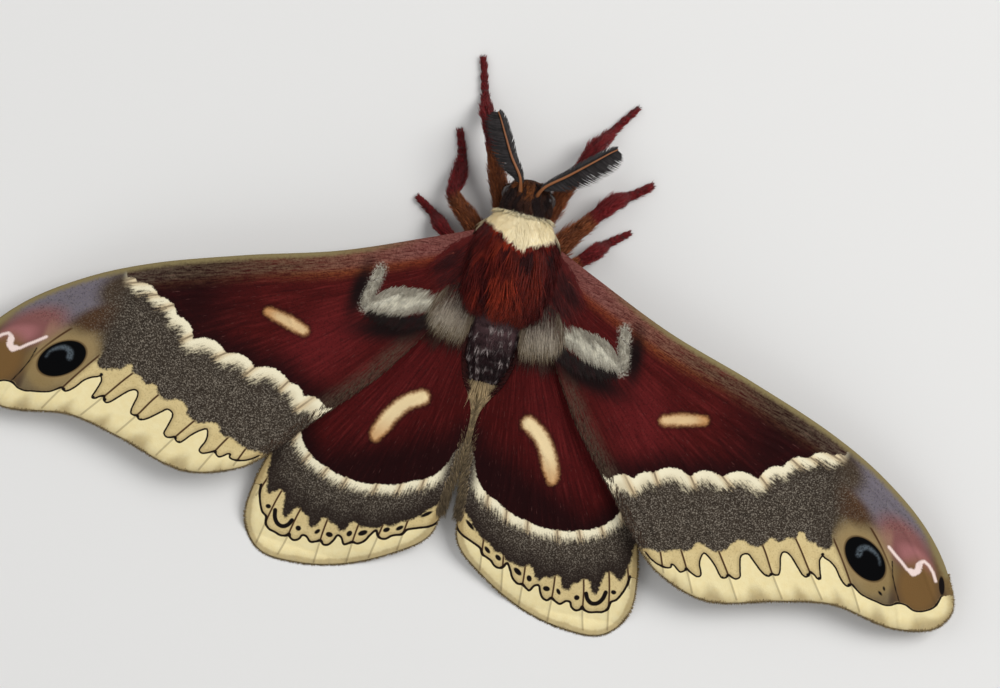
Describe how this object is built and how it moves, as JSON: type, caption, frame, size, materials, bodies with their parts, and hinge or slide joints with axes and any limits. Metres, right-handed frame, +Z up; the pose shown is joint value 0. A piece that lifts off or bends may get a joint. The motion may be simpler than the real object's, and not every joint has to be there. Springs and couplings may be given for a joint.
{
  "type": "glover's silkmoth",
  "caption": "Life-size still model of a large red-brown silkmoth with spread, eye-spotted wings, furry body and combed antennae, standing on its feet.",
  "frame": {"origin": "on the floor, under the middle of the model's bounding box", "axes": "-Y the way the head faces, +Y tailward, -X the moth's right side, +Z up from the floor"},
  "size_m": [0.1026, 0.0542, 0.0099],
  "materials": {
    "wing_scales": "matt scales, maroon with cream, grey and black bands",
    "red_fur": "long soft rust-red and maroon hair",
    "cream_fur": "dense cream-white hair",
    "dark_fur": "short dark red-brown hair",
    "abdomen_fur": "dark maroon hair with pale rings",
    "leg_fur": "red and orange-brown hair",
    "antenna": "dull orange-brown shaft with dark grey comb",
    "eye": "glossy near-black compound eye"
  },
  "bodies": {
    "root": {"head": "dark_fur", "eye_right": "eye", "eye_left": "eye", "antenna_right": "antenna", "antenna_left": "antenna", "collar": "cream_fur", "thorax": "red_fur", "abdomen": "abdomen_fur", "forewing_right": "wing_scales", "forewing_left": "wing_scales", "hindwing_right": "wing_scales", "hindwing_left": "wing_scales", "leg_front_right": "leg_fur", "leg_front_left": "leg_fur", "leg_mid_right": "leg_fur", "leg_mid_left": "leg_fur", "leg_hind_right": "leg_fur", "leg_hind_left": "leg_fur"}
  },
  "joints": []
}
